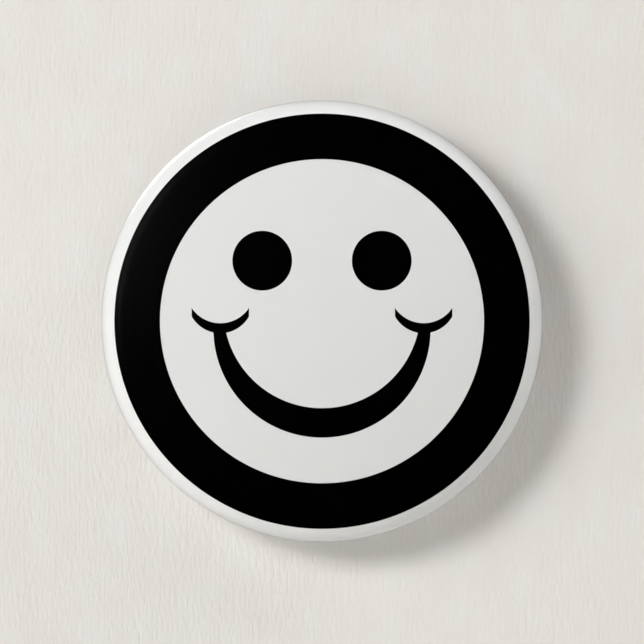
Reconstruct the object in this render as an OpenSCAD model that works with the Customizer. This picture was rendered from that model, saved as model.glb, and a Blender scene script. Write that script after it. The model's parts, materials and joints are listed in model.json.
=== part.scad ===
// Pin-back button badge, built in layers: clear film over printed paper over a domed
// tinplate shell, crimped round a stamped back plate that carries a spring-wire pin.
// Local axes of every module: x to the wearer's left, y up, z out of the face, with z = 0
// on the plane where the cloth lies. worn() stands the badge up, face towards -Y.

/* [Badge] */
// Outside diameter over the film
badge_d = 57.15; // [56:0.05:60]
// Radius of the gentle dome across the face
dome_r = 125; // [110:5:160]
// Radius of the shoulder between the face and the side
shoulder_r = 3.6; // [3.2:0.1:4.2]
// Radius of the curl that turns the edge under
curl_r = 1.5; // [1.45:0.05:1.7]
// Height of the straight side between the shoulder and the curl
side_h = 0.2; // [0.1:0.1:0.6]
// Width of the hem that the curl lays over the back, from the outside edge to its fold
hem_w = 2.375; // [2.2:0.025:2.5]

/* [Layers] */
// Thickness of the clear film
film_t = 0.1; // [0.08:0.01:0.1]
// Thickness of the printed ink
ink_t = 0.02; // [0.01:0.005:0.02]
// Thickness of the paper
paper_t = 0.12; // [0.1:0.01:0.12]
// Thickness of the tinplate of the front shell
shell_t = 0.25; // [0.2:0.01:0.25]
// Thickness of the tinplate of the back plate
plate_t = 0.3; // [0.25:0.01:0.3]

/* [Artwork] */
// Inner radius of the printed ring
ring_in = 20.9; // [20:0.1:22]
// Outer radius of the printed ring
ring_out = 26.8; // [26:0.1:27]
// Radius of each eye dot
eye_r = 3.85; // [3:0.05:4.5]
// Distance of each eye from the middle line
eye_x = 7.7; // [6:0.1:9]
// Height of the eyes above the middle
eye_y = 7.8; // [6:0.1:10]
// Distance of each cheek line from the middle line
cheek_x = 13.1; // [12.6:0.1:13.4]
// Half the width of a cheek line
cheek_half = 3.7; // [3:0.1:4]
// Radius of the outer edge of the smile
smile_out_r = 14; // [13.8:0.1:14.4]
// Radius of the inner edge of the smile
smile_in_r = 12.7; // [12.3:0.1:12.8]

/* [Back plate] */
// Depth of the dish below the plane where the cloth lies
dish_depth = 3.4; // [3.35:0.05:3.8]
// Radius of the flat floor of the dish
floor_r = 19.9; // [19.8:0.1:20.4]
// Outer radius of the flat land that the cloth lies on
land_out = 24.55; // [24.2:0.05:24.6]
// Width of the two bridges that hold the pin's fixed leg
bridge_w = 2.6; // [2:0.1:3.5]
// Width of the catch
catch_w = 3; // [2:0.1:3.4]

/* [Pin] */
// Diameter of the spring wire
wire_d = 0.8; // [0.7:0.05:0.8]
// Mean radius of the spring coil
coil_r = 1; // [0.95:0.05:1.05]
// Angle that the opening needle leans upwards from square to the back
lean = 35; // [32:1:38]
// Distance of the coil from the middle line
coil_x = 17.6; // [17:0.1:17.6]
// Length of the needle's polished shank
shank_l = 27.8; // [27:0.1:28]
// Diameter of the needle's polished shank
needle_d = 0.78; // [0.7:0.01:0.8]
// Length of the ground point
point_l = 5.8; // [4:0.1:6]

/* [Hidden] */
$fn = 144;

badge_r = badge_d / 2;
wire_r = wire_d / 2;
needle_r = needle_d / 2;
gap = 0.01;             // air between two layers that lie on each other
clear_of_plate = 0.31;  // the hem sits this far inside the plane where the cloth lies

// Depths of the layers under the film's outer surface
ink_0 = film_t + gap;
ink_1 = ink_0 + ink_t;
paper_0 = ink_1 + gap;
paper_1 = paper_0 + paper_t;
shell_0 = paper_1 + gap;
shell_1 = shell_0 + shell_t;

// Centres of the arcs of the outer surface, as [radius, height]
hem_r = badge_r - hem_w;
fold_r = (shell_0 + shell_1) / 2;
fold_c = [hem_r, clear_of_plate + fold_r];
curl_c = [badge_r - curl_r, clear_of_plate + curl_r];
shoulder_c = [badge_r - shoulder_r, curl_c[1] + side_h];
dome_a = asin(shoulder_c[0] / (dome_r - shoulder_r));
dome_c = [0, shoulder_c[1] - (dome_r - shoulder_r) * cos(dome_a)];
tuck_film = badge_r - 1.5;
tuck_paper = badge_r - 1.7;
art_h = 20;             // taller than the badge, for cutting straight through its layers

// Back plate
plate_mid = plate_t / 2;
flange_z = 2 * fold_c[1] - clear_of_plate + gap + plate_mid;
flange_r = badge_r - 1.2;
edge_bend = [0.35, 60];     // radius and angle of the bends between flange and land
dish_bend = [0.6, 70];      // radius and angle of the bends between land and floor
floor_z = dish_depth + plate_mid;

// Pin
coil_pitch = wire_d + 0.04;
coil_y = 3.5;
needle_y = coil_y + coil_r * sin(lean) + coil_pitch / 2 * cos(lean);
leg_y = 2 * coil_y - needle_y;
leg_z = dish_depth - wire_r - 0.02;     // the fixed leg lies on the floor of the dish
coil_z = leg_z - coil_r * cos(lean) + coil_pitch / 2 * sin(lean);
needle_z = 2 * coil_z - leg_z;
leg_end_x = -8;
leg_hook_r = 1.2;       // bend at the end of the fixed leg, which keeps it from turning
relief = [3.2, 3.2];    // opening in the floor that the top of the coil stands in
bridge_x = [10, -4];
bridge_gap = 0.03;      // air between the fixed leg and a bridge
catch_x = -14.5;
catch_lip = needle_z - wire_r - 0.15;   // height of the lip's inner face
catch_tip = needle_y - 0.13;            // how far the lip reaches over the needle
catch_bend = 0.45;
catch_riser = needle_y - 0.8;
root_l = 1.6;           // wire left as drawn between the coil and the polished shank
blend_l = 0.8;          // where the polishing fades out
tip_r = 0.05;
window_l = 4;           // length of the opening that the catch was bent up out of

function arc(c, r, a0, a1, steps, first = 0) =
    [for (i = [first:steps]) let (a = a0 + (a1 - a0) * i / steps) c + r * [cos(a), sin(a)]];

function back_to_front(list) = [for (i = [len(list) - 1:-1:0]) list[i]];

// The line at depth t under the film's outer surface, from the middle of the face to the side
function face_line(t) = concat(
    arc(dome_c, dome_r - t, 90, 90 - dome_a, 14),
    arc(shoulder_c, shoulder_r - t, 90 - dome_a, 0, 10, 1)
);

// The same line carried on round the curl to the start of the hem
function shell_line(t) = concat(face_line(t), arc(curl_c, curl_r - t, 0, -90, 8));

// The same line carried on round the folded edge and back outwards between shell and plate
function wrap_line(t, tuck) = concat(
    shell_line(t),
    arc(fold_c, fold_r - t, -90, -270, 10),
    [[tuck, fold_c[1] + fold_r - t]]
);

// Middle line of a bent sheet, as [point, heading]. A step is [length, bend radius, bend angle].
function sheet_line(steps, p, h, i = 0) = i == len(steps) ? [] : let (
    s = steps[i],
    q = p + s[0] * [cos(h), sin(h)],
    turn = sign(s[2]),
    c = q + turn * s[1] * [-sin(h), cos(h)],
    n = s[2] == 0 ? 0 : 6,
    bent = [for (k = [0:n]) let (a = n == 0 ? h : h + s[2] * k / n)
        [n == 0 ? q : c + turn * s[1] * [sin(a), -cos(a)], a]],
    start = s[0] == 0 && i > 0 ? [] : i == 0 ? [[p, h]] : []
) concat(start, bent, sheet_line(steps, bent[n][0], bent[n][1], i + 1));

module sheet(steps, p, h) {
    line = sheet_line(steps, p, h);
    side = [for (f = line) plate_mid * [-sin(f[1]), cos(f[1])]];
    polygon(concat(
        [for (i = [0:len(line) - 1]) line[i][0] + side[i]],
        back_to_front([for (i = [0:len(line) - 1]) line[i][0] - side[i]])
    ));
}

// Length of the slope between two equal bends that shift a sheet by rise, and its whole reach
function slope_l(rise, bend) = (rise - 2 * bend[0] * (1 - cos(bend[1]))) / sin(bend[1]);
function slope_reach(rise, bend) =
    2 * bend[0] * sin(bend[1]) + slope_l(rise, bend) * cos(bend[1]);

module worn() {
    rotate([90, 0, 0])
        children();
}

// A skin of the face between two depths, cut straight through along an outline
module printed(depth_0, depth_1) {
    worn() intersection() {
        translate([0, 0, dome_c[1]]) difference() {
            sphere(dome_r - depth_0);
            sphere(dome_r - depth_1);
        }
        linear_extrude(art_h)
            children();
    }
}

module eye_shape(side) {
    translate([side * eye_x, eye_y])
        circle(eye_r);
}

module cheek_shape(side) {
    low_r = 4.25;
    up_r = 4.45;
    translate([side * cheek_x, 0]) difference() {
        intersection() {
            translate([0, low_r - 1.55]) circle(low_r);
            translate([-cheek_half, -2]) square([2 * cheek_half, 4]);
        }
        translate([0, up_r - 0.25]) circle(up_r);
    }
}

module smile_shape() {
    cheek_shape(-1);
    cheek_shape(1);
    difference() {
        intersection() {
            translate([0, -1]) circle(smile_out_r);
            translate([-art_h, -art_h]) square([2 * art_h, art_h - 1.2]);
        }
        translate([0, 1.5]) circle(smile_in_r);
    }
}

module film_cover() {
    color("white", 0.25)
        worn() rotate_extrude()
            polygon(concat(
                wrap_line(0, tuck_film),
                back_to_front(wrap_line(film_t, tuck_film))
            ));
}

module ink_ring() {
    color("black")
        worn() rotate_extrude() intersection() {
            polygon(concat(face_line(ink_0), back_to_front(face_line(ink_1))));
            translate([ring_in, 0]) square([ring_out - ring_in, art_h]);
        }
}

module ink_ground() {
    color("whitesmoke")
        printed(ink_0, ink_1) difference() {
            circle(ring_in - gap);
            eye_shape(-1);
            eye_shape(1);
            smile_shape();
        }
}

module ink_eye_left() {
    color("black")
        printed(ink_0, ink_1)
            eye_shape(-1);
}

module ink_eye_right() {
    color("black")
        printed(ink_0, ink_1)
            eye_shape(1);
}

module ink_smile() {
    color("black")
        printed(ink_0, ink_1)
            smile_shape();
}

module printed_sheet() {
    color("white")
        worn() rotate_extrude()
            polygon(concat(
                wrap_line(paper_0, tuck_paper),
                back_to_front(wrap_line(paper_1, tuck_paper))
            ));
}

module front_shell() {
    hem = clear_of_plate + shell_0;
    color("silver")
        worn() rotate_extrude()
            polygon(concat(
                shell_line(shell_0),
                [[hem_r, hem], [hem_r, hem + shell_t]],
                back_to_front(shell_line(shell_1))
            ));
}

// The stamped disc: flange under the hem, flat land for the cloth, dished middle
module plate_disc() {
    edge_rise = flange_z - plate_mid;
    dish_rise = floor_z - plate_mid;
    land_in = floor_r + slope_reach(dish_rise, dish_bend);
    flange_w = flange_r - land_out - slope_reach(edge_rise, edge_bend);
    rotate_extrude()
        sheet([
            [flange_w, edge_bend[0], edge_bend[1]],
            [slope_l(edge_rise, edge_bend), edge_bend[0], -edge_bend[1]],
            [land_out - land_in, dish_bend[0], -dish_bend[1]],
            [slope_l(dish_rise, dish_bend), dish_bend[0], dish_bend[1]],
            [floor_r, 0, 0],
        ], [flange_r, flange_z], 180);
}

// A strip lanced up over the fixed leg, with the opening that it leaves in the floor
module bridge_arch(r, z0) {
    rotate([90, 0, 90]) linear_extrude(bridge_w, center = true) {
        translate([leg_y, leg_z]) circle(r);
        translate([leg_y - r, leg_z]) square([2 * r, z0 - leg_z]);
    }
}

module catch() {
    translate([catch_x, 0, 0]) rotate([90, 0, 90]) linear_extrude(catch_w, center = true)
        sheet([
            [floor_z - catch_lip + plate_mid - catch_bend, catch_bend, 90],
            [catch_tip - catch_riser - catch_bend, 0, 0],
        ], [catch_riser, floor_z], 270);
}

module floor_opening(middle, size) {
    translate([middle[0] - size[0] / 2, middle[1] - size[1] / 2, dish_depth - plate_t])
        cube([size[0], size[1], 3 * plate_t]);
}

module back_plate() {
    arch_in = wire_r + bridge_gap;
    color("gainsboro")
        worn() {
            difference() {
                union() {
                    plate_disc();
                    for (x = bridge_x)
                        translate([x, 0, 0]) bridge_arch(arch_in + plate_t, floor_z);
                }
                for (x = bridge_x)
                    translate([x, 0, 0]) scale([1.2, 1, 1])
                        bridge_arch(arch_in, dish_depth + 2 * plate_t);
                floor_opening([catch_x, catch_riser - plate_mid - window_l / 2], [catch_w, window_l]);
                floor_opening([coil_x, coil_y], relief);
            }
            catch();
        }
}

// A round wire that runs along x. A step is [length, bend radius, bend angle, roll first].
module wire(steps, i = 0) {
    $fn = 36;
    if (i < len(steps)) {
        s = steps[i];
        rotate([s[3], 0, 0]) {
            if (s[0] > 0)
                rotate([0, 90, 0]) cylinder(r = wire_r, h = s[0]);
            if (s[2] > 0)
                translate([s[0], s[1], 0]) rotate([0, 0, -90]) rotate_extrude(angle = s[2])
                    translate([s[1], 0]) circle(wire_r);
            translate([s[0] + s[1] * sin(s[2]), s[1] * (1 - cos(s[2])), 0])
                rotate([0, 0, s[2]]) wire(steps, i + 1);
        }
    }
}

// Places a piece on the coil: x along the pin, y the way the needle opens, z the coil's axis
module on_coil(side) {
    worn() translate([coil_x, coil_y, coil_z]) rotate([lean - 90, 0, 0])
        translate([-coil_r, 0, side * coil_pitch / 2])
            children();
}

module pin_spring() {
    color("lightsteelblue")
        on_coil(-1) rotate([0, 0, 90]) wire([
            [0, coil_r, 270, 180],
            [coil_x - leg_end_x, leg_hook_r, 90, 90 + lean],
            [1, 0, 0, 0],
        ]);
}

module pin_needle() {
    color("lightsteelblue")
        on_coil(1) {
            rotate([0, 0, -90]) wire([[0, coil_r, 270, 0], [root_l, 0, 0, 0]]);
            translate([coil_r - root_l, coil_r, 0]) rotate([0, -90, 0]) {
                cylinder(r1 = wire_r, r2 = needle_r, h = blend_l);
                translate([0, 0, blend_l]) cylinder(r = needle_r, h = shank_l);
                translate([0, 0, blend_l + shank_l])
                    cylinder(r1 = needle_r, r2 = tip_r, h = point_l);
            }
        }
}

film_cover();
ink_ring();
ink_ground();
ink_eye_left();
ink_eye_right();
ink_smile();
printed_sheet();
front_shell();
back_plate();
pin_spring();
pin_needle();
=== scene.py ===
"""Looks of a round pin-back button badge, built round its packed model.

Shapes are worked out in millimetres on the badge's own axes: x to the right and y up as seen
by someone who faces it, z out of the face, with z = 0 on the plane where the cloth lies.
"""

import json
import math
import random

import bmesh
import bpy
from bpy.props import FloatProperty, FloatVectorProperty, IntProperty, PointerProperty
from mathutils import Matrix, Vector
from mathutils.geometry import delaunay_2d_cdt


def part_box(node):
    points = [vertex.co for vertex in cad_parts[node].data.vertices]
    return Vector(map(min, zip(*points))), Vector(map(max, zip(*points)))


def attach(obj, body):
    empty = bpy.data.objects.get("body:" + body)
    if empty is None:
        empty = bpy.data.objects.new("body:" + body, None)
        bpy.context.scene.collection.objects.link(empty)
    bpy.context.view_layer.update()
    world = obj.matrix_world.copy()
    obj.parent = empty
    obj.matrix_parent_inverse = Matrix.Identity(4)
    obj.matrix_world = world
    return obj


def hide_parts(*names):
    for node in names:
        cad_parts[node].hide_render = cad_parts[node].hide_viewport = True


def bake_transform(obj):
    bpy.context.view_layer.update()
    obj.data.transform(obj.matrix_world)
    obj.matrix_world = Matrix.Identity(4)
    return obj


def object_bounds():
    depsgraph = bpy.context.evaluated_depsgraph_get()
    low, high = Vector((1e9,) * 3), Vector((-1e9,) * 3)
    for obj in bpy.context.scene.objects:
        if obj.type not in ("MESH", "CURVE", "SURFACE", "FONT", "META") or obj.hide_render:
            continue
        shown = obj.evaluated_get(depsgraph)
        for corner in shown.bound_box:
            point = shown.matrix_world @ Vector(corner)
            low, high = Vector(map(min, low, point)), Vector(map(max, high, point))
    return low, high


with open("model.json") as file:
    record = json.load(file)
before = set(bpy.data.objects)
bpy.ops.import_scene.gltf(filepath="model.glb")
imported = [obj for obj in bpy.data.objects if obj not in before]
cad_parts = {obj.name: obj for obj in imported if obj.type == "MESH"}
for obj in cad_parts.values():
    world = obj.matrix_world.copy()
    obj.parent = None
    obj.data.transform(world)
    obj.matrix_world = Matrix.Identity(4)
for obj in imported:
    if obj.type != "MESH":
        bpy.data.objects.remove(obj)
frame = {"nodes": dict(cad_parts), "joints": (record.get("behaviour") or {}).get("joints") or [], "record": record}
CAD_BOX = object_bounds()

bl_info = {
    "name": "Button badge",
    "version": (1, 0, 0),
    "blender": (4, 5, 0),
    "location": "3D View > Sidebar > Badge",
    "description": "Builds the film, print, paper, tinplate and pin of a button badge",
    "category": "Object",
}

MM = 0.001
WORN = Matrix(((MM, 0, 0, 0), (0, 0, -MM, 0), (0, MM, 0, 0), (0, 0, 0, 1)))
SHARP = math.radians(35)


def linear(code):
    """A hex sRGB colour as linear red, green, blue and alpha."""
    parts = [int(code[i:i + 2], 16) / 255 for i in (1, 3, 5)]
    return tuple(c / 12.92 if c <= 0.04045 else ((c + 0.055) / 1.055) ** 2.4 for c in parts) + (1.0,)


def size(name, default, text):
    """A length that a user may change, given in millimetres."""
    return FloatProperty(name=name, description=text, default=default * MM, min=0, precision=6,
                         unit="LENGTH", subtype="DISTANCE")


def colour(name, code, text):
    return FloatVectorProperty(name=name, description=text, default=linear(code), size=4,
                               min=0, max=1, subtype="COLOR")


# ---- sizes and colours


class BadgeLayers(bpy.types.PropertyGroup):
    """The domed front and the layers that wrap over it."""
    dome_radius: size("Dome radius", 125, "Radius of the gentle dome across the face")
    shoulder_radius: size("Shoulder radius", 3.6, "Radius between the face and the side")
    curl_radius: size("Curl radius", 1.5, "Radius of the curl that turns the edge under")
    side_height: size("Side height", 0.2, "Straight side between the shoulder and the curl")
    hem_width: size("Hem width", 2.375, "Width of the hem that lies over the back")
    film: size("Film", 0.1, "Thickness of the clear film")
    ink: size("Ink", 0.02, "Thickness of the printed ink")
    paper: size("Paper", 0.12, "Thickness of the paper")
    shell: size("Shell", 0.25, "Thickness of the front shell's tinplate")
    gap: size("Gap", 0.01, "Air between two layers")
    film_tuck: size("Film tuck", 1.5, "How far inside the edge the film ends under the hem")
    paper_tuck: size("Paper tuck", 1.7, "How far inside the edge the paper ends under the hem")
    pleat_height: size("Pleat height", 0.15, "How far the pleats of the hem stand up")
    pleats: IntProperty(name="Pleats", description="Number of pleats round the hem",
                        default=84, min=0, max=200)
    columns: IntProperty(name="Columns", description="Steps round the badge",
                         default=480, min=48, max=720)


class BadgePrint(bpy.types.PropertyGroup):
    """The printed ring and the plain smile inside it."""
    ring_in: size("Ring inside", 20.9, "Inner radius of the printed ring")
    ring_out: size("Ring outside", 26.8, "Outer radius of the printed ring")
    eye_radius: size("Eye radius", 3.85, "Radius of each eye dot")
    eye_x: size("Eye distance", 7.7, "Distance of each eye from the middle line")
    eye_y: size("Eye height", 7.8, "Height of the eyes above the middle")
    cheek_x: size("Cheek distance", 13.1, "Distance of each cheek line from the middle line")
    cheek_half: size("Cheek half width", 3.7, "Half the width of a cheek line")
    smile_out: size("Smile outside", 14, "Radius of the smile's outer edge")
    smile_in: size("Smile inside", 12.7, "Radius of the smile's inner edge")


class BadgeBack(bpy.types.PropertyGroup):
    """The stamped back plate with its lanced bridges and catch."""
    plate: size("Plate", 0.3, "Thickness of the back plate's tinplate")
    dish_depth: size("Dish depth", 3.4, "Depth of the dish below the land")
    floor_radius: size("Floor radius", 19.9, "Radius of the flat floor of the dish")
    land_radius: size("Land radius", 24.55, "Outer radius of the flat land")
    bead_radius: size("Bead radius", 12.2, "Radius of the stiffening bead in the floor")
    bead_depth: size("Bead depth", 0.14, "Depth of the stiffening bead")
    bridge_width: size("Bridge width", 2.6, "Width of the two bridges over the pin's leg")
    catch_width: size("Catch width", 3, "Width of the catch")
    edge_break: size("Edge break", 0.05, "Rounding on every stamped edge")


class BadgePin(bpy.types.PropertyGroup):
    """The bent spring wire."""
    wire: size("Wire", 0.8, "Diameter of the spring wire")
    coil_radius: size("Coil radius", 1, "Mean radius of the coil")
    coil_pitch: size("Coil pitch", 0.84, "Distance between the coil's two turns")
    root: size("Root", 1.6, "Straight wire between the coil and the polished shank")
    root_taper: size("Root taper", 0.8, "Length over which the wire thins to the polished shank")
    point: size("Point", 5.8, "Length of the ground point")
    tip_radius: size("Tip radius", 0.05, "Radius at the very tip")
    leg_end: size("Leg end", 8, "Where the leg's end bend begins, past the middle line")
    hook_radius: size("Hook radius", 1.2, "Radius of the leg's end bend")
    hook_end: size("Hook end", 1, "Straight length after the leg's end bend")


class BadgeFinishes(bpy.types.PropertyGroup):
    """Colours of the layers and the metals."""
    black: colour("Black ink", "#010101", "Solid black print")
    offwhite: colour("Off-white ink", "#eeeeed", "Light ground print")
    paper: colour("Paper", "#fbfbfa", "Bright white coated paper")
    tin: colour("Tin", "#d9dad8", "Bright tin on steel")
    tin_worn: colour("Rubbed tin", "#c2c3c1", "Tin where the press has rubbed it")
    nickel: colour("Nickel", "#cdc8bd", "Nickel plating on the wire")
    backdrop: colour("Backdrop", "#efede9", "Pale rough paper behind the badge")
    cove: colour("Cove", "#e4e3e0", "Pale seamless floor and wall")


class BadgeStage(bpy.types.PropertyGroup):
    """Camera and light."""
    view_width: size("View width", 83.3, "Width of the view at the badge")
    view_distance: size("View distance", 1400, "Distance of the camera from the badge")
    view_drop: size("View drop", 0.1, "Camera's offset below the middle of the badge")
    wall_gap: size("Wall gap", 4, "Distance of the backdrop behind the badge")
    floor_drop: size("Floor drop", 120, "Depth of the floor below the middle of the badge")
    cove_radius: size("Cove radius", 2100, "Radius of the seamless cove")


# ---- shared tools


def mm(lengths, *names):
    """These lengths of a property group, in millimetres."""
    found = [getattr(lengths, n) / MM for n in names]
    return found[0] if len(found) == 1 else found


def arc(centre, radius, start, end, steps, first=0):
    """Points on a circle from start to end, in degrees."""
    turns = [math.radians(start + (end - start) * i / steps) for i in range(first, steps + 1)]
    return [(centre[0] + radius * math.cos(a), centre[1] + radius * math.sin(a)) for a in turns]


def fade(low, high, x):
    """0 below low and 1 above high, with a smooth run between."""
    t = min(max((x - low) / (high - low), 0), 1)
    return t * t * (3 - 2 * t)


def lathe(loop, columns, shift=None):
    """Turns a closed loop of (radius, height) round the axis. shift moves a point at an angle."""
    bm = bmesh.new()
    rings = []
    for r, z in loop:
        if r < 1e-6:
            rings.append([bm.verts.new((0, 0, z))])
            continue
        ring = []
        for k in range(columns):
            a = 2 * math.pi * k / columns
            dr, dz = shift(r, z, a) if shift else (0, 0)
            ring.append(bm.verts.new(((r + dr) * math.cos(a), (r + dr) * math.sin(a), z + dz)))
        rings.append(ring)
    for one, two in zip(rings, rings[1:] + rings[:1]):
        for k in range(max(len(one), len(two)) if len(one) + len(two) > 2 else 0):
            k2 = k + 1
            corners = [one[k % len(one)], one[k2 % len(one)], two[k2 % len(two)], two[k % len(two)]]
            bm.faces.new(dict.fromkeys(corners))
    return bm


def ring_of(bm, r, z, columns):
    """Points round the axis at one radius and height."""
    turns = (2 * math.pi * k / columns for k in range(columns))
    return [bm.verts.new((r * math.cos(a), r * math.sin(a), z)) for a in turns]


def stitch(bm, one, two):
    """Faces between two closed rings with the same number of points."""
    for k in range(len(one)):
        k2 = (k + 1) % len(one)
        bm.faces.new((one[k], one[k2], two[k2], two[k]))


def thick_sheet(bm, points, faces, upper, lower):
    """Gives a flat triangulated area two skins and walls along its open edges."""
    top = [bm.verts.new(upper(i, *p)) for i, p in enumerate(points)]
    bottom = [bm.verts.new(lower(i, *p)) for i, p in enumerate(points)]
    uses = {}
    for f in faces:
        bm.faces.new([top[i] for i in f])
        bm.faces.new([bottom[i] for i in reversed(f)])
        for a, b in zip(f, f[1:] + f[:1]):
            uses.setdefault((min(a, b), max(a, b)), []).append((a, b))
    open_edges = [u[0] for u in uses.values() if len(u) == 1]
    return top, bottom, open_edges


def tube(bm, path, radii, sides=24):
    """A round wire along a path, closed at both ends. A radius may be given for each point."""
    path = [Vector(p) for p in path]
    ahead = [(b - a).normalized() for a, b in zip(path, path[1:])]
    ahead = [ahead[0]] + [(a + b).normalized() for a, b in zip(ahead, ahead[1:])] + [ahead[-1]]
    across = ahead[0].orthogonal().normalized()
    rings = []
    for i, (p, t) in enumerate(zip(path, ahead)):
        if i:
            across = (ahead[i - 1].rotation_difference(t) @ across)
            across = (across - across.dot(t) * t).normalized()
        other = t.cross(across)
        ring = [bm.verts.new(p + radii[i] * (math.cos(a) * across + math.sin(a) * other))
                for a in (2 * math.pi * k / sides for k in range(sides))]
        rings.append(ring)
    for one, two in zip(rings, rings[1:]):
        stitch(bm, one, two)
    bm.faces.new(reversed(rings[0]))
    bm.faces.new(rings[-1])
    return rings


def piece(bm, name, material, body, slot, *nodes):
    """Stands a mesh up as it is worn, in metres, and makes it a piece that rides on a body."""
    bm.transform(WORN)
    bmesh.ops.recalc_face_normals(bm, faces=bm.faces)
    for face in bm.faces:
        face.smooth = True
    for edge in bm.edges:
        edge.smooth = len(edge.link_faces) != 2 or edge.calc_face_angle() < SHARP
    mesh = bpy.data.meshes.new(name)
    bm.to_mesh(mesh)
    bm.free()
    mesh.materials.append(material)
    obj = bpy.data.objects.new(name, mesh)
    bpy.context.scene.collection.objects.link(obj)
    if body:
        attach(obj, body)
    if nodes:
        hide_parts(*nodes)
    return obj


def add(tree, kind, inputs=None, **settings):
    """Adds a node with its settings. inputs maps a socket to a value or to another node's socket."""
    made = tree.nodes.new(kind)
    for name, value in settings.items():
        setattr(made, name, value)
    for name, value in (inputs or {}).items():
        if isinstance(value, bpy.types.NodeSocket):
            tree.links.new(value, made.inputs[name])
        else:
            made.inputs[name].default_value = value
    return made


def new_material(name):
    """A material with an empty node tree, and the object's own coordinates in millimetres."""
    material = bpy.data.materials.new(name)
    material.use_nodes = True
    tree = material.node_tree
    tree.nodes.clear()
    place = add(tree, "ShaderNodeTexCoord").outputs["Object"]
    place = add(tree, "ShaderNodeVectorMath", {0: place, "Scale": 1 / MM}, operation="SCALE")
    return material, tree, place.outputs[0]


def grain(tree, place, length, detail=2.0, stretch=(1, 1, 1)):
    """Noise with spots about this many millimetres long, drawn out by stretch on each axis."""
    spots = add(tree, "ShaderNodeVectorMath", {0: place, 1: tuple(1 / s for s in stretch)},
                operation="MULTIPLY")
    return add(tree, "ShaderNodeTexNoise", {"Vector": spots.outputs[0], "Scale": 1 / length,
                                            "Detail": detail, "Roughness": 0.55}).outputs[0]


def between(tree, value, low, high, start=0.3, end=0.7):
    """Maps noise from start..end to low..high."""
    return add(tree, "ShaderNodeMapRange", {0: value, 1: start, 2: end, 3: low, 4: high}).outputs[0]


def relief(tree, height, strength, depth):
    """A normal roughened by a height, with the depth in millimetres."""
    return add(tree, "ShaderNodeBump", {"Height": height, "Strength": strength,
                                        "Distance": depth * MM}).outputs[0]


def finished(material, tree, shader):
    add(tree, "ShaderNodeOutputMaterial", {"Surface": shader.outputs[0]})
    return material


def tint(tree, value, one, two):
    """A colour between two colours."""
    return add(tree, "ShaderNodeMix", {"Factor": value, "A": one, "B": two},
               data_type="RGBA").outputs["Result"]


# ---- materials

EDGE_GLOSS = 0.15       # most that the film mirrors, however flat the view across it

def stretched_polyester_film():
    """Clear polyester film pulled tight over the dome: one thin clear gloss with a slight waviness."""
    material, tree, place = new_material("polyester_film_stretched")
    wave = grain(tree, place, 7.0, detail=1.0)      # the film follows the paper's slow unevenness
    normal = relief(tree, wave, 0.25, 0.012)
    gloss = add(tree, "ShaderNodeBsdfAnisotropic", {"Roughness": 0.32, "Normal": normal})
    clear = add(tree, "ShaderNodeBsdfTransparent")
    mirror = add(tree, "ShaderNodeFresnel", {"IOR": 1.47, "Normal": normal})
    inside = add(tree, "ShaderNodeNewGeometry").outputs["Backfacing"]
    outside = add(tree, "ShaderNodeMath", {0: 1.0, 1: inside}, operation="SUBTRACT")
    edge = add(tree, "ShaderNodeMath", {0: mirror.outputs[0], 1: EDGE_GLOSS}, operation="MINIMUM")
    share = add(tree, "ShaderNodeMath", {0: edge.outputs[0], 1: outside.outputs[0]},
                operation="MULTIPLY")
    mix = add(tree, "ShaderNodeMixShader", {0: share.outputs[0], 1: clear.outputs[0],
                                            2: gloss.outputs[0]})
    return finished(material, tree, mix)


def printed_ink(name, shade, depth):
    """Ink laid down by press: a flat matt layer whose density drifts a little across the sheet."""
    material, tree, place = new_material(name)
    drift = grain(tree, place, 5.0)
    mottle = grain(tree, place, 0.4)        # press mottle is finer; this is as fine as shows
    both = add(tree, "ShaderNodeMath", {0: drift, 1: mottle}, operation="MULTIPLY")
    thin = tuple(min(1, c * (1 + depth) + 0.0001) for c in shade[:3]) + (1,)
    base = tint(tree, between(tree, both.outputs[0], 0, 1, 0.15, 0.4), shade, thin)
    rough = between(tree, mottle, 0.5, 0.6)
    shader = add(tree, "ShaderNodeBsdfPrincipled", {
        "Base Color": base, "Roughness": rough, "Normal": relief(tree, mottle, 0.2, 0.002),
        "Specular IOR Level": 0.01})        # against the film the ink has next to no gloss of its own
    return finished(material, tree, shader)


def coated_paper(shade):
    """Coated paper, calendered smooth: bright white with a trace of fibre."""
    material, tree, place = new_material("coated_paper")
    cloud = grain(tree, place, 3.0)
    fibre = grain(tree, place, 0.35, detail=3.0, stretch=(2.5, 1, 1))
    grey = tuple(c * 0.975 for c in shade[:3]) + (1,)
    base = tint(tree, between(tree, cloud, 0, 1), shade, grey)
    shader = add(tree, "ShaderNodeBsdfPrincipled", {
        "Base Color": base, "Roughness": between(tree, fibre, 0.55, 0.7),
        "Normal": relief(tree, fibre, 0.3, 0.006), "Specular IOR Level": 0.15})
    return finished(material, tree, shader)


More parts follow.
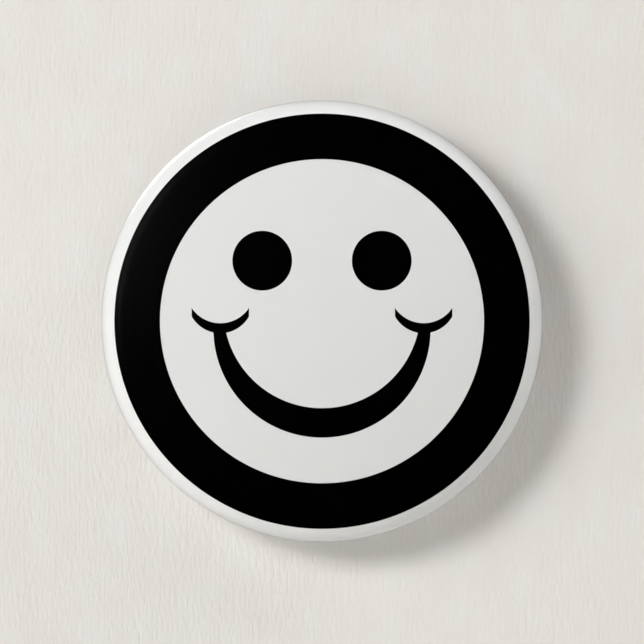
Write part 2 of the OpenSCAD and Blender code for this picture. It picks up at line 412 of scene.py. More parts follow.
def rolled_tinplate(shade, worn):
    """Tinplate, cold rolled and flow brightened: a silvery sheet with fine straight rolling lines,
    rubbed duller in rings where the press tool drew it, with a few hair scratches."""
    material, tree, place = new_material("tinplate_rolled_and_stamped")
    lines = grain(tree, place, 0.12, detail=2.0, stretch=(60, 1, 1))    # rolling lines along x
    cloud = grain(tree, place, 4.0, detail=3.0)
    flat = add(tree, "ShaderNodeVectorMath", {0: place, 1: (1, 0, 1)}, operation="MULTIPLY")
    reach = add(tree, "ShaderNodeVectorMath", {0: flat.outputs[0]}, operation="LENGTH")
    drawn = add(tree, "ShaderNodeTexNoise", {"W": reach.outputs["Value"], "Scale": 6.0,
                                             "Detail": 2.0}, noise_dimensions="1D").outputs[0]
    scratch_place = add(tree, "ShaderNodeMapping", {"Vector": place,
                                                    "Rotation": (0, math.radians(23), 0)})
    hair = grain(tree, scratch_place.outputs[0], 0.1, detail=0.0, stretch=(120, 1, 1))
    hair = between(tree, hair, 0, 1, 0.74, 0.8)
    marks = between(tree, cloud, 0, 1, 0.45, 0.85)
    base = tint(tree, marks, shade, worn)
    rough = add(tree, "ShaderNodeMath", {0: between(tree, lines, 0.14, 0.24),
                                         1: between(tree, marks, 0, 0.1, 0, 1)}, operation="ADD")
    height = add(tree, "ShaderNodeMath", {0: lines, 1: between(tree, drawn, 0, 0.8)},
                 operation="ADD")
    height = add(tree, "ShaderNodeMath", {0: height.outputs[0], 1: hair}, operation="SUBTRACT")
    shader = add(tree, "ShaderNodeBsdfPrincipled", {
        "Base Color": base, "Metallic": 1.0, "Roughness": rough.outputs[0],
        "Normal": relief(tree, height.outputs[0], 0.35, 0.004)})
    return finished(material, tree, shader)


def drawn_nickel_wire(shade):
    """Spring wire, drawn and nickel plated: a warm bright metal with fine lines along its length."""
    material, tree, place = new_material("nickel_plated_drawn_wire")
    lines = grain(tree, place, 0.09, detail=2.0, stretch=(80, 1, 1))
    cloud = grain(tree, place, 2.0)
    dull = tuple(c * 0.82 for c in shade[:3]) + (1,)
    shader = add(tree, "ShaderNodeBsdfPrincipled", {
        "Base Color": tint(tree, between(tree, cloud, 0, 1), shade, dull), "Metallic": 1.0,
        "Roughness": between(tree, lines, 0.12, 0.26),
        "Normal": relief(tree, lines, 0.3, 0.004)})
    return finished(material, tree, shader)


def rough_paper_backdrop(shade):
    """Heavy mould-made paper: warm and matt, clouded, with a fine upright grain. Clear from behind."""
    material, tree, place = new_material("rough_paper_backdrop")
    tooth = grain(tree, place, 0.5, detail=3.0, stretch=(1, 1, 3.5))
    cloud = grain(tree, place, 5.0, stretch=(1, 1, 1.6))
    warm = tuple(c * drop for c, drop in zip(shade, (0.985, 0.96, 0.95))) + (1,)
    shader = add(tree, "ShaderNodeBsdfPrincipled", {
        "Base Color": tint(tree, between(tree, cloud, 0, 1), shade, warm), "Roughness": 0.95,
        "Specular IOR Level": 0.1, "Normal": relief(tree, tooth, 0.5, 0.3)})
    clear = add(tree, "ShaderNodeBsdfTransparent")
    behind = add(tree, "ShaderNodeNewGeometry").outputs["Backfacing"]
    mix = add(tree, "ShaderNodeMixShader", {0: behind, 1: shader.outputs[0], 2: clear.outputs[0]})
    return finished(material, tree, mix)


def painted_cove(shade):
    """Matt studio paint with a faint roller texture."""
    material, tree, place = new_material("cove_matt_paint")
    roller = grain(tree, place, 6.0, detail=3.0)
    shader = add(tree, "ShaderNodeBsdfPrincipled", {
        "Base Color": shade, "Roughness": 0.9, "Specular IOR Level": 0.1,
        "Normal": relief(tree, roller, 0.1, 0.2)})
    return finished(material, tree, shader)


# ---- the domed front


class Front:
    """The arcs of the badge's outer surface, and the depth of each layer under it."""

    def __init__(self, layers):
        low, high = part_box("film_cover")
        self.radius = high.x / MM
        self.low = -high.y / MM
        self.dome_r, self.shoulder_r, self.curl_r = mm(
            layers, "dome_radius", "shoulder_radius", "curl_radius")
        film, ink, paper, shell, gap = mm(layers, "film", "ink", "paper", "shell", "gap")
        self.film = (0, film)
        self.ink = (film + gap, film + gap + ink)
        self.paper = (self.ink[1] + gap, self.ink[1] + gap + paper)
        shell_0 = self.paper[1] + gap
        self.fold_r = shell_0 + shell / 2
        self.fold = (self.radius - mm(layers, "hem_width"), self.low + self.fold_r)
        self.curl = (self.radius - self.curl_r, self.low + self.curl_r)
        self.shoulder = (self.radius - self.shoulder_r, self.curl[1] + mm(layers, "side_height"))
        reach = self.dome_r - self.shoulder_r
        self.tilt = math.degrees(math.asin(self.shoulder[0] / reach))
        self.dome = (0, self.shoulder[1] - reach * math.cos(math.radians(self.tilt)))
        self.tucks = [self.radius - t for t in mm(layers, "film_tuck", "paper_tuck")]

    def face_line(self, depth):
        """From the middle of the face to the side."""
        return (arc(self.dome, self.dome_r - depth, 90, 90 - self.tilt, 26)
                + arc(self.shoulder, self.shoulder_r - depth, 90 - self.tilt, 0, 14, 1))

    def wrap_line(self, depth, tuck):
        """The face line carried on round the curl and the hem, and back under it."""
        fold = arc(self.fold, self.fold_r - depth, -90, -270, 10)
        hem = [(self.curl[0] + (self.fold[0] - self.curl[0]) * i / 3, self.low + depth)
               for i in (1, 2)]
        return (self.face_line(depth) + arc(self.curl, self.curl_r - depth, 0, -90, 10)
                + hem + fold + [(tuck, fold[-1][1])])

    def face_height(self, x, y, depth):
        return self.dome[1] + math.sqrt((self.dome_r - depth) ** 2 - x * x - y * y)


class Pleats:
    """Small gathers where film and paper are drawn in round the edge. Both layers share them."""

    def __init__(self, front, layers):
        draw = random.Random(11)
        self.front = front
        self.height = mm(layers, "pleat_height")
        step = 2 * math.pi / max(layers.pleats, 1)
        self.ridges = [(step * (i + draw.uniform(-0.3, 0.3)), draw.uniform(0.35, 1),
                        draw.uniform(0.25, 0.4) / front.fold[0], draw.uniform(-1, 1))
                       for i in range(layers.pleats)]
        self.memory = {}

    def rise(self, angle, lean):
        key = (round(angle, 6), round(lean, 2))
        if key not in self.memory:
            total = 0
            for at, tall, wide, slant in self.ridges:
                off = (angle - at - slant * lean * 0.012 + math.pi) % (2 * math.pi) - math.pi
                if abs(off) < 3 * wide:
                    total = max(total, tall * math.exp(-(off / wide) ** 2))
            self.memory[key] = total
        return self.memory[key]

    def __call__(self, r, z, angle):
        f = self.front
        if z > f.curl[1] or r > f.radius - 0.25 or r < f.fold[0] - 1:
            return 0, 0
        grow = fade(f.radius - 0.25, f.radius - 1.6, r) * (1 - fade(f.fold[1], f.fold[1] + 0.3, z)
                                                          if r < f.radius - 1.2 else 1)
        if grow <= 0:
            return 0, 0
        centre = f.curl if r > f.curl[0] else f.fold if r < f.fold[0] else (r, f.fold[1])
        way = Vector((r - centre[0], z - centre[1]))
        if way.length < 1e-6:
            return 0, 0
        way = way.normalized() * self.height * grow * self.rise(angle, f.radius - r)
        return way.x, way.y


def wrapped_layer(layers, depths, tuck):
    front = Front(layers)
    outer, inner = (front.wrap_line(d, front.tucks[tuck]) for d in depths(front))
    return lathe(outer + inner[::-1], layers.columns, Pleats(front, layers))


class BADGE_OT_film(bpy.types.Operator):
    """Clear film over the whole front, pleated under the hem"""
    bl_idname = "badge.film"
    bl_label = "Film"

    def execute(self, context):
        bm = wrapped_layer(context.scene.badge_layers, lambda f: f.film, 0)
        piece(bm, "clear_film", stretched_polyester_film(), "badge", "film", "film_cover")
        return {"FINISHED"}


class BADGE_OT_paper(bpy.types.Operator):
    """Printed sheet of coated paper under the film"""
    bl_idname = "badge.paper"
    bl_label = "Paper"

    def execute(self, context):
        bm = wrapped_layer(context.scene.badge_layers, lambda f: f.paper, 1)
        finish = coated_paper(tuple(context.scene.badge_finishes.paper))
        piece(bm, "paper_sheet", finish, "badge", "paper", "printed_sheet")
        return {"FINISHED"}


# ---- the print


class Artwork:
    """A plain smile in a ring, made of circles and arcs."""
    CHEEK_LOW = (2.7, 4.25)     # height of the centre and radius of a cheek line's lower arc
    CHEEK_UP = (4.2, 4.45)      # and of its upper arc
    SMILE_TOP = -1.2
    OUT_Y, IN_Y = -1, 1.5     # heights of the centres of the smile's two edges

    def __init__(self, sizes, gap):
        self.ground_r = mm(sizes, "ring_in") - gap
        self.eye_r, self.eye_x, self.eye_y = mm(sizes, "eye_radius", "eye_x", "eye_y")
        self.cheek_x, self.cheek_half = mm(sizes, "cheek_x", "cheek_half")
        self.out_r, self.in_r = mm(sizes, "smile_out", "smile_in")

    def area(self, x, y):
        """Name of the print at a point, or None outside the ground."""
        side = "left" if x < 0 else "right"
        across = abs(x)
        if math.hypot(across - self.eye_x, y - self.eye_y) < self.eye_r:
            return "eye_" + side
        from_cheek = across - self.cheek_x
        (low_y, low_r), (up_y, up_r) = self.CHEEK_LOW, self.CHEEK_UP
        cheek = (abs(from_cheek) < self.cheek_half and math.hypot(from_cheek, y - low_y) < low_r
                 and math.hypot(from_cheek, y - up_y) > up_r and y < 2)
        smile = (y < self.SMILE_TOP and math.hypot(x, y - self.OUT_Y) < self.out_r
                 and math.hypot(x, y - self.IN_Y) > self.in_r)
        if cheek or smile:
            return "smile"
        return "ground" if math.hypot(x, y) < self.ground_r else None

    def outlines(self):
        """Closed outlines that hold every edge of the print."""
        def ring(cx, cy, r, n):
            return arc((cx, cy), r, 0, 360, n)[:-1]

        lines = [ring(0, 0, self.ground_r, 360), ring(0, self.OUT_Y, self.out_r, 300),
                 ring(0, self.IN_Y, self.in_r, 280)]
        lines.append([(x / 2, self.SMILE_TOP) for x in range(-29, 30)])
        for side in (-1, 1):
            lines.append(ring(side * self.eye_x, self.eye_y, self.eye_r, 120))
            for y, r in (self.CHEEK_LOW, self.CHEEK_UP):
                lines.append(ring(side * self.cheek_x, y, r, 140))
            for edge in (-1, 1):
                x = side * self.cheek_x + edge * self.cheek_half
                lines.append([(x, y / 2) for y in range(-4, 5)])
        return lines


def cut_up(lines, spacing, reach):
    """Triangulates the plane inside reach, with every line kept as an edge."""
    points, edges = [], []
    for line in lines:
        first = len(points)
        points += line
        edges += [(first + i, first + i + 1) for i in range(len(line) - 1)]
        if len(line) > 2:
            edges.append((len(points) - 1, first))
    rings = int(reach / spacing)
    for i in range(rings):
        r = reach * i / rings
        count = max(1, round(2 * math.pi * r / spacing))
        points += arc((0, 0), r, 0, 360, count)[:-1]
    made = delaunay_2d_cdt([Vector(p) for p in points], edges, [], 0, 1e-4)
    return [tuple(v) for v in made[0]], made[2], made[3]


class BADGE_OT_print(bpy.types.Operator):
    """Black ring, off-white ground, two eye dots and the smile"""
    bl_idname = "badge.print"
    bl_label = "Print"

    def execute(self, context):
        scene = context.scene
        front = Front(scene.badge_layers)
        sizes, shades = scene.badge_print, scene.badge_finishes
        black = printed_ink("black_ink_printed", tuple(shades.black), 0.6)
        offwhite = printed_ink("offwhite_ink_printed", tuple(shades.offwhite), -0.012)

        ring_in, ring_out = mm(sizes, "ring_in", "ring_out")
        lines = []
        for depth in front.ink:
            line = [p for p in front.face_line(depth) if ring_in < p[0] < ring_out]
            ends = [(r, self.height_on(front, r, depth)) for r in (ring_in, ring_out)]
            lines.append([ends[0]] + line + [ends[1]])
        bm = lathe(lines[0] + lines[1][::-1], scene.badge_layers.columns)
        piece(bm, "ring_print", black, "badge", "ink_black", "ink_ring")

        art = Artwork(sizes, mm(scene.badge_layers, "gap"))
        points, faces, _ = cut_up(art.outlines(), 1.1, art.ground_r)
        areas = {}
        for f in faces:
            x, y = (sum(points[i][k] for i in f) / 3 for k in (0, 1))
            areas.setdefault(art.area(x, y), []).append(f)
        for area in ("ground", "eye_left", "eye_right", "smile"):
            bm = self.skin(front, points, areas[area])
            ink, slot = (offwhite, "ink_offwhite") if area == "ground" else (black, "ink_black")
            piece(bm, area + "_print", ink, "badge", slot, "ink_" + area)
        return {"FINISHED"}

    @staticmethod
    def height_on(front, r, depth):
        """Height of the outer surface at this radius, which may lie on the shoulder."""
        if r > front.shoulder[0]:
            reach = front.shoulder_r - depth
            over = front.dome_r * math.sin(math.radians(front.tilt))
            if r > over:
                return front.shoulder[1] + math.sqrt(reach ** 2 - (r - front.shoulder[0]) ** 2)
        return front.face_height(r, 0, depth)

    @staticmethod
    def skin(front, points, faces):
        """One area of print, bent to the dome, with a top, a bottom and an edge."""
        used = sorted({i for f in faces for i in f})
        index = {old: new for new, old in enumerate(used)}
        spots = [points[i] for i in used]
        own = [[index[i] for i in f] for f in faces]
        bm = bmesh.new()
        top, bottom, edges = thick_sheet(
            bm, spots, own,
            lambda i, x, y: (x, y, front.face_height(x, y, front.ink[0])),
            lambda i, x, y: (x, y, front.face_height(x, y, front.ink[1])))
        for a, b in edges:
            bm.faces.new((top[b], top[a], bottom[a], bottom[b]))
        return bm


# ---- the tinplate


class BADGE_OT_shell(bpy.types.Operator):
    """Tinplate finish for the packed front shell, which shows through the back's openings"""
    bl_idname = "badge.shell"
    bl_label = "Front shell"

    def execute(self, context):
        shell = frame["nodes"]["front_shell"]
        shell.data.materials.clear()
        shell.data.materials.append(tinplate(context))
        return {"FINISHED"}


def tinplate(context):
    name = "tinplate_rolled_and_stamped"
    shades = context.scene.badge_finishes
    return bpy.data.materials.get(name) or rolled_tinplate(tuple(shades.tin), tuple(shades.tin_worn))


def bent_line(steps, start, heading, bends=8):
    """Middle line of a bent sheet as (point, heading). A step is length, bend radius, bend angle."""
    point, line = Vector(start), [(Vector(start), heading)]
    for length, radius, angle in steps:
        h = math.radians(heading)
        point = point + length * Vector((math.cos(h), math.sin(h)))
        if length and line[-1][0] != point:
            line.append((point, heading))
        if angle:
            turn = math.copysign(1, angle)
            centre = point + turn * radius * Vector((-math.sin(h), math.cos(h)))
            for k in range(1, bends + 1):
                a = math.radians(heading + angle * k / bends)
                line.append((centre + turn * radius * Vector((math.sin(a), -math.cos(a))),
                             math.degrees(a)))
            point, heading = line[-1][0], heading + angle
    return line


def slope(rise, radius, angle):
    """Length and reach of the slope between two equal bends that shift a sheet by rise."""
    a = math.radians(angle)
    length = (rise - 2 * radius * (1 - math.cos(a))) / math.sin(a)
    return length, 2 * radius * math.sin(a) + length * math.cos(a)


def rounded_box(cx, cy, w, h, corner, steps=4):
    """Outline of an opening with rounded corners."""
    line = []
    for sx, sy, start in ((1, 1, 0), (-1, 1, 90), (-1, -1, 180), (1, -1, 270)):
        centre = (cx + sx * (w / 2 - corner), cy + sy * (h / 2 - corner))
        line += arc(centre, corner, start, start + 90, steps)
    return line


def in_box(x, y, cx, cy, w, h):
    return abs(x - cx) < w / 2 and abs(y - cy) < h / 2


class Plate:
    """Sizes of the back plate, with the pin's place taken from the packed record."""
    EDGE_BEND = (0.35, 60)
    DISH_BEND = (0.6, 70)
    CORNER = 0.3
    BRIDGES = (10, -4)
    CATCH_X = -14.5
    CATCH_BEND = 0.45
    WINDOW = 4
    RELIEF = 3.2
    ROOT_BEND = 0.3     # bend where a bridge or the catch leaves the floor

    def __init__(self, back, wire):
        joint = frame["joints"][0]
        needle = next(m for m in frame["record"]["mounts"] if m["name"] == "needle")
        self.coil = Vector(joint["pos_m"]) / MM
        self.t, self.dish, self.floor_r, self.land_r = mm(
            back, "plate", "dish_depth", "floor_radius", "land_radius")
        self.floor_z = self.dish + self.t / 2
        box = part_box("back_plate")
        self.flange_r = box[1].x / MM
        self.flange_z = 1.26
        self.leg_z = self.dish - wire / 2 - 0.02
        self.needle_y = needle["pos_m"][2] / MM
        self.needle_z = -needle["pos_m"][1] / MM
        self.leg_y = 2 * self.coil.z - self.needle_y
        self.wire_r = wire / 2
        self.shank_r = needle["dims"]["r_mm"]
        self.riser = self.needle_y - 0.8
        self.break_ = mm(back, "edge_break")
        self.bead = mm(back, "bead_radius", "bead_depth")
        self.bridge_w, self.catch_w = mm(back, "bridge_width", "catch_width")

    def openings(self):
        """Middle and size of each opening in the floor."""
        inner = self.wire_r + 0.03
        found = [(x, self.leg_y, 1.2 * self.bridge_w, 2 * inner) for x in self.BRIDGES]
        found.append((self.CATCH_X, self.riser - (self.t + self.WINDOW) / 2,
                      self.catch_w, self.WINDOW))
        found.append((self.coil.x, self.coil.z, self.RELIEF, self.RELIEF))
        return found

    def floor_height(self, r):
        at, deep = self.bead
        return self.floor_z + deep * math.exp(-((r - at) / 0.55) ** 2)

    def profile(self):
        """Middle line from the flange's edge to the rim of the floor."""
        edge_l, edge_reach = slope(self.flange_z - self.t / 2, *self.EDGE_BEND)
        dish_l, dish_reach = slope(self.floor_z - self.t / 2, *self.DISH_BEND)
        land_in = self.floor_r + dish_reach
        (edge_r, edge_a), (dish_r, dish_a) = self.EDGE_BEND, self.DISH_BEND
        return bent_line([(self.flange_r - self.land_r - edge_reach, edge_r, edge_a),
                          (edge_l, edge_r, -edge_a),
                          (self.land_r - land_in, dish_r, -dish_a),
                          (dish_l, dish_r, dish_a)], (self.flange_r, self.flange_z), 180)


def stamped_disc(bm, plate, columns=288):
    """The plate's disc: turned flange, land and dish, round a flat floor with openings."""
    half = plate.t / 2
    ring_line = plate.profile()
    floor_rim = [(plate.floor_r * math.cos(2 * math.pi * k / columns),
                  plate.floor_r * math.sin(2 * math.pi * k / columns)) for k in range(columns)]
    grown = plate.break_
    lines = [floor_rim]
    edge_points = set()
    for cx, cy, w, h in plate.openings():
        corner = min(plate.CORNER, 0.45 * min(w, h))
        first = sum(len(line) for line in lines)
        lines.append(rounded_box(cx, cy, w, h, corner))
        edge_points.update(range(first, first + len(lines[-1])))
        lines.append(rounded_box(cx, cy, w + 2 * grown, h + 2 * grown, corner + grown))
    bead_r = plate.bead[0]
    for i in range(-5, 6):
        lines.append(arc((0, 0), bead_r + 0.2 * i, 0, 360, 240)[:-1])
    points, faces, origins = cut_up(lines, 1.6, plate.floor_r)
    kept = []
    for f in faces:
        x, y = (sum(points[i][k] for i in f) / 3 for k in (0, 1))
        if not any(in_box(x, y, *hole) and inside_hole(x, y, plate, hole)
                   for hole in plate.openings()):
            kept.append(list(f))
    thin = {i for i, o in enumerate(origins) if edge_points & set(o)}
    rim = {o: i for i, origin in enumerate(origins) for o in origin if o < columns}

    def height(i, x, y, side):
        return x, y, plate.floor_height(math.hypot(x, y)) + side * (
            half - (plate.break_ if i in thin else 0))

    upper, lower, edges = thick_sheet(bm, points, kept, lambda i, x, y: height(i, x, y, 1),
                                      lambda i, x, y: height(i, x, y, -1))
    rim_index = set(rim.values())
    for a, b in edges:
        if not (a in rim_index and b in rim_index):
            bm.faces.new((upper[b], upper[a], lower[a], lower[b]))
    sides = []
    for turn in (-1, 1):
        rings = []
        for j, (p, heading) in enumerate(ring_line[:-1]):
            h = math.radians(heading)
            offset = half - (plate.break_ if j == 0 else 0)
            r, z = Vector(p) + turn * offset * Vector((-math.sin(h), math.cos(h)))
            rings.append(ring_of(bm, r, z, columns))
            if j == 0:
                z = p[1] + turn * half * math.cos(h)
                rings.append(ring_of(bm, r - plate.break_, z, columns))
        skin = lower if turn == 1 else upper
        rings.append([skin[rim[k]] for k in range(columns)])
        for one, two in zip(rings, rings[1:]):
            stitch(bm, one, two)
        sides.append(rings[0])
    stitch(bm, *sides)
    loose = [v for v in bm.verts if not v.link_faces]
    bmesh.ops.delete(bm, geom=loose, context="VERTS")


def inside_hole(x, y, plate, hole):
    """True inside an opening's rounded corners."""
    cx, cy, w, h = hole
    corner = min(plate.CORNER, 0.45 * min(w, h))
    dx, dy = abs(x - cx) - (w / 2 - corner), abs(y - cy) - (h / 2 - corner)
    return dx <= 0 or dy <= 0 or math.hypot(dx, dy) < corner


def bent_strip(bm, line, x, widths, thick, chamfer):
    """A strip of sheet bent along a line in y and z. widths gives its width at each point."""
    rings = []
    last = len(line) - 1
    for i, ((p, heading), width) in enumerate(zip(line, widths)):
        h = math.radians(heading)
        out = Vector((0, -math.sin(h), math.cos(h)))
        cut = chamfer * 0.7 if i in (0, last) else 0
        w, t = width / 2 - cut, thick / 2 - cut
        corners = [(w, t - chamfer), (w - chamfer, t), (chamfer - w, t), (-w, t - chamfer),
                   (-w, chamfer - t), (chamfer - w, -t), (w - chamfer, -t), (w, chamfer - t)]
        rings.append([bm.verts.new(Vector((x + a, p[0], p[1])) + b * out) for a, b in corners])
    for one, two in zip(rings, rings[1:]):
        stitch(bm, one, two)
    bm.faces.new(rings[0])
    bm.faces.new(reversed(rings[-1]))


class BADGE_OT_back(bpy.types.Operator):
    """Back plate stamped from tinplate, with two bridges and a catch lanced out of it"""
    bl_idname = "badge.back"
    bl_label = "Back plate"

    def execute(self, context):
        scene = context.scene
        plate = Plate(scene.badge_back, mm(scene.badge_pin, "wire"))
        bm = bmesh.new()
        stamped_disc(bm, plate)
        bend, t, cut = plate.ROOT_BEND, plate.t, plate.break_
        arch_r = plate.wire_r + 0.03 + t / 2
        lift = plate.floor_z - plate.leg_z - bend
        for x in plate.BRIDGES:
            line = bent_line([(0.2, bend, -90), (lift, arch_r, 180), (lift, bend, -90), (0.2, 0, 0)],
                             (plate.leg_y - arch_r - bend - 0.2, plate.floor_z), 0, 12)
            bent_strip(bm, line, x, [plate.bridge_w] * len(line), t, cut)
        lip_z = plate.needle_z - plate.wire_r - 0.15 - t / 2
        rise = plate.floor_z - lip_z - plate.CATCH_BEND - bend
        reach = plate.needle_y - 0.13 - plate.riser - plate.CATCH_BEND
        line = bent_line([(0.2, bend, 90), (rise, plate.CATCH_BEND, 90)]
                         + [(reach / 6, 0, 0)] * 6,
                         (plate.riser + bend + 0.2, plate.floor_z), 180, 10)
        widths = [plate.catch_w] * len(line)
        for k in range(1, 7):           # the lip's corners are cut round
            away = 0.45 * (1 - (1 - (k / 6) ** 2) ** 0.5)
            widths[k - 7] = plate.catch_w - 2 * away
        bent_strip(bm, line, plate.CATCH_X, widths, t, cut)
        piece(bm, "tin_back", tinplate(context), "badge", "tinplate", "back_plate")
        return {"FINISHED"}


# ---- the pin


class BADGE_OT_pin(bpy.types.Operator):
    """Spring wire pin: fixed leg, coil and needle, which bends at the coil"""
    bl_idname = "badge.pin"
    bl_label = "Pin"

    def execute(self, context):
        scene = context.scene
        pin = scene.badge_pin
        plate = Plate(scene.badge_back, mm(pin, "wire"))
        finish = drawn_nickel_wire(tuple(scene.badge_finishes.nickel))
        wire_r, coil_r, half = mm(pin, "wire") / 2, mm(pin, "coil_radius"), mm(pin, "coil_pitch") / 2
        axis = Vector(frame["joints"][0]["axis"])
        lean = math.asin(axis.y)
        opens = Vector((0, math.sin(lean), -math.cos(lean)))    # the way the needle opens
        along = Vector((0, math.cos(lean), math.sin(lean)))     # the coil's axis
        centre = Vector((plate.coil.x, plate.coil.z, -plate.coil.y))

        def on_coil(angle, lift):
            a = math.radians(angle)
            return (centre + coil_r * (math.cos(a) * Vector((1, 0, 0)) + math.sin(a) * opens)
                    + lift * along)

        def turn(start, end, lift):
            count = max(4, round(abs(end - start) / 6))
            spots = [start + (end - start) * i / count for i in range(count + 1)]
            return [on_coil(a, lift(a) if callable(lift) else lift) for a in spots]

        # Fixed leg: half a turn of the coil, the straight leg under the bridges, the end bend
        leg = turn(104, -90, -half)
        x, y, z = leg[-1]
        end_x, hook_r, hook_end = -mm(pin, "leg_end"), *mm(pin, "hook_radius", "hook_end")
        leg += [Vector((x + (end_x - x) * i / 24, y, z)) for i in range(1, 25)]
        leg += [Vector((px, py, z)) for px, py in arc((end_x, y - hook_r), hook_r, 90, 180, 10, 1)]
        end = leg[-1]
        leg += [end - Vector((0, hook_end - 0.06, 0)), end - Vector((0, hook_end, 0))]
        bm = bmesh.new()
        tube(bm, leg, [wire_r] * (len(leg) - 1) + [wire_r - 0.06])
        piece(bm, "pin_leg", finish, "badge", "nickel_wire", "pin_spring")

        # Needle: half a turn of the coil, the root, the polished shank and the ground point
        tip_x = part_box("pin_needle")[0].x / MM
        needle = turn(256, 450, half)
        radii = [wire_r] * len(needle)
        x, y, z = needle[-1]
        point_l, tip_r = mm(pin, "point", "tip_radius")
        root_l, taper_l = mm(pin, "root", "root_taper")
        start, base, shank_r = x - root_l - taper_l, tip_x + point_l, plate.shank_r
        needle += [Vector((x - root_l, y, z)), Vector((start, y, z))]
        radii += [wire_r, shank_r]
        needle += [Vector((start + (base - start) * i / 24, y, z)) for i in range(1, 25)]
        radii += [shank_r] * 24
        for i in range(1, 13):
            t = i / 12
            needle.append(Vector((base - (point_l - tip_r) * t, y, z)))
            radii.append(tip_r + (shank_r - tip_r) * (1 - t))
        needle.append(Vector((tip_x, y, z)))
        radii.append(tip_r * 0.3)
        bm = bmesh.new()
        tube(bm, needle, radii)
        piece(bm, "pin_shank", finish, "needle", "nickel_wire", "pin_needle")

        # The half turn between them crosses from one turn of the coil to the other
        bm = bmesh.new()
        crossing = turn(100, 260, lambda a: half * (2 * fade(108, 252, a) - 1))
        tube(bm, crossing, [wire_r] * len(crossing))
        coil = piece(bm, "pin_coil", finish, None, "nickel_wire")
        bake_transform(coil)
        return {"FINISHED"}


# ---- camera and light


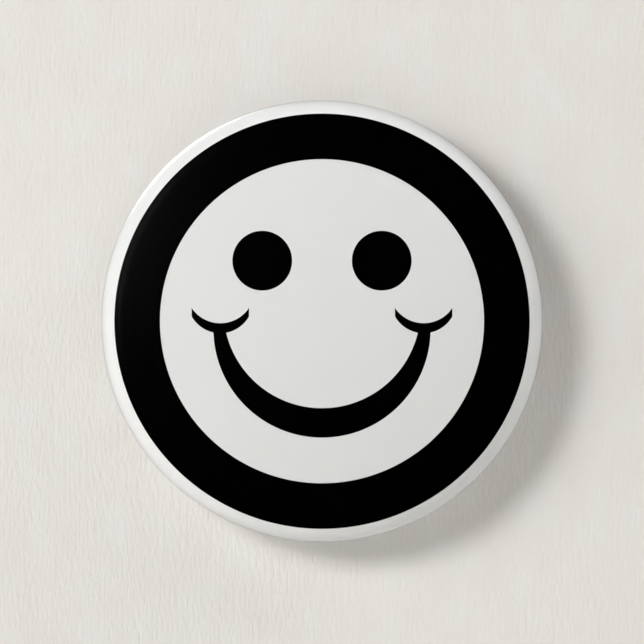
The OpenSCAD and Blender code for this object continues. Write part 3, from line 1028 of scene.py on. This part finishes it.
class BADGE_OT_stage(bpy.types.Operator):
    """Backdrop, seamless floor, soft studio light and the camera in front of the badge"""
    bl_idname = "badge.stage"
    bl_label = "Stage"
    # Name, direction from the badge, distance in metres, width in metres, watts, spread in degrees
    LIGHTS = (
        ("key_upper", (-0.555, -0.743, 0.374), 1.5, 0.5, 8.2, 180),
        ("key_side", (-0.662, -0.695, 0.281), 1.5, 0.5, 4.4, 180),
        ("key_low", (-0.844, -0.469, 0.258), 1.5, 0.5, 2.8, 180),
        ("fill_upper_right", (0.656, -0.375, 0.656), 1.5, 0.8, 1.8, 180),
        ("fill_top", (0.0, -0.375, 0.927), 1.5, 0.8, 1.8, 180),
        ("rim_upper_right", (0.741, -0.070, 0.667), 1.5, 0.6, 1.0, 60),
        ("sheen", (-0.662, -0.695, 0.281), 1.5, 0.8, 1.0, 180),
        ("rear_soft", (-0.45, 0.75, 0.55), 1.5, 0.8, 0.9, 50),
    )

    def execute(self, context):
        scene = context.scene
        settings, shades = scene.badge_stage, scene.badge_finishes
        self.backdrop(rough_paper_backdrop(tuple(shades.backdrop)), settings)
        self.cove(painted_cove(tuple(shades.cove)), settings)
        for name, way, distance, width, watts, spread in self.LIGHTS:
            data = bpy.data.lights.new(name, "AREA")
            data.shape, data.size, data.energy = "DISK", width, watts
            data.spread = math.radians(spread)
            lamp = bpy.data.objects.new(name, data)
            lamp.location = Vector(way).normalized() * distance
            lamp.rotation_euler = Vector(way).to_track_quat("Z", "Y").to_euler()
            lamp.visible_camera = False
            lamp.visible_diffuse = name != "sheen"      # the only front light that shows in gloss
            lamp.visible_glossy = name in ("sheen", "rear_soft")
            scene.collection.objects.link(lamp)
        scene.world = bpy.data.worlds.new("dark_room")
        scene.world.color = (0, 0, 0)
        scene.view_settings.view_transform = "Standard"

        data = bpy.data.cameras.new("front_view")
        data.sensor_width = 36
        data.lens = data.sensor_width * settings.view_distance / settings.view_width
        data.clip_end = 10
        camera = bpy.data.objects.new("front_view", data)
        low, high = CAD_BOX
        camera.location = (0, -settings.view_distance - 0.002,
                           (low.z + high.z) / 2 - settings.view_drop)
        camera.rotation_euler = (math.pi / 2, 0, 0)
        scene.collection.objects.link(camera)
        scene.camera = camera
        return {"FINISHED"}

    @staticmethod
    def backdrop(material, settings):
        """A sheet close behind the badge that only the camera sees, and only from the front."""
        half, y = settings.view_distance * 0.985, CAD_BOX[1].y + settings.wall_gap
        mesh = bpy.data.meshes.new("backdrop")
        mesh.from_pydata([(-half, y, -half), (half, y, -half), (half, y, half), (-half, y, half)],
                         [], [(0, 1, 2, 3)])
        mesh.materials.append(material)
        sheet = bpy.data.objects.new("backdrop", mesh)
        for ray in ("shadow", "diffuse", "glossy", "transmission"):
            setattr(sheet, "visible_" + ray, False)
        bpy.context.scene.collection.objects.link(sheet)

    @staticmethod
    def cove(material, settings):
        """A round floor that sweeps up into a wall. Its front half stays out of the film's gloss."""
        radius, drop, sweep = settings.cove_radius, settings.floor_drop, 0.5
        line = [(radius * i / 12 * 0.76, 0) for i in range(1, 13)]
        line += arc((radius - sweep, sweep), sweep, -90, 0, 12, 1) + [(radius, 1.6)]
        for name, start in (("cove_front", 180), ("cove_rear", 0)):
            bm = bmesh.new()
            rings = [[bm.verts.new((r * math.cos(a), r * math.sin(a), z - drop))
                      for a in (math.radians(start + 180 * k / 48) for k in range(49))]
                     for r, z in line]
            hub = bm.verts.new((0, 0, -drop))
            for k in range(48):
                bm.faces.new((hub, rings[0][k], rings[0][k + 1]))
                for one, two in zip(rings, rings[1:]):
                    bm.faces.new((one[k], two[k], two[k + 1], one[k + 1]))
            for face in bm.faces:
                face.smooth = True
            mesh = bpy.data.meshes.new(name)
            bm.to_mesh(mesh)
            bm.free()
            mesh.materials.append(material)
            half = bpy.data.objects.new(name, mesh)
            half.visible_glossy = name == "cove_rear"
            bpy.context.scene.collection.objects.link(half)


# ---- add-on


class BADGE_PT_sidebar(bpy.types.Panel):
    """Sizes, colours and building steps of the badge"""
    bl_idname = "BADGE_PT_sidebar"
    bl_label = "Button badge"
    bl_space_type = "VIEW_3D"
    bl_region_type = "UI"
    bl_category = "Badge"

    def draw(self, context):
        for group in GROUPS:
            box = self.layout.box()
            box.label(text=GROUPS[group].__doc__)
            held = getattr(context.scene, group)
            for name in held.bl_rna.properties.keys():
                if name not in ("rna_type", "name"):
                    box.prop(held, name)
        for step in STEPS:
            self.layout.operator(step.bl_idname)


GROUPS = {
    "badge_layers": BadgeLayers,
    "badge_print": BadgePrint,
    "badge_back": BadgeBack,
    "badge_pin": BadgePin,
    "badge_finishes": BadgeFinishes,
    "badge_stage": BadgeStage,
}
STEPS = (BADGE_OT_film, BADGE_OT_print, BADGE_OT_paper, BADGE_OT_shell, BADGE_OT_back,
         BADGE_OT_pin, BADGE_OT_stage)


def register():
    for kind in (*GROUPS.values(), *STEPS, BADGE_PT_sidebar):
        bpy.utils.register_class(kind)
    for name, kind in GROUPS.items():
        setattr(bpy.types.Scene, name, PointerProperty(type=kind))


def unregister():
    for name in GROUPS:
        delattr(bpy.types.Scene, name)
    for kind in (BADGE_PT_sidebar, *reversed(STEPS), *reversed(GROUPS.values())):
        bpy.utils.unregister_class(kind)


def main():
    register()
    bpy.ops.badge.film()
    bpy.ops.badge.print()
    bpy.ops.badge.paper()
    bpy.ops.badge.shell()
    bpy.ops.badge.back()
    bpy.ops.badge.pin()
    bpy.ops.badge.stage()


if __name__ == "__main__":
    main()
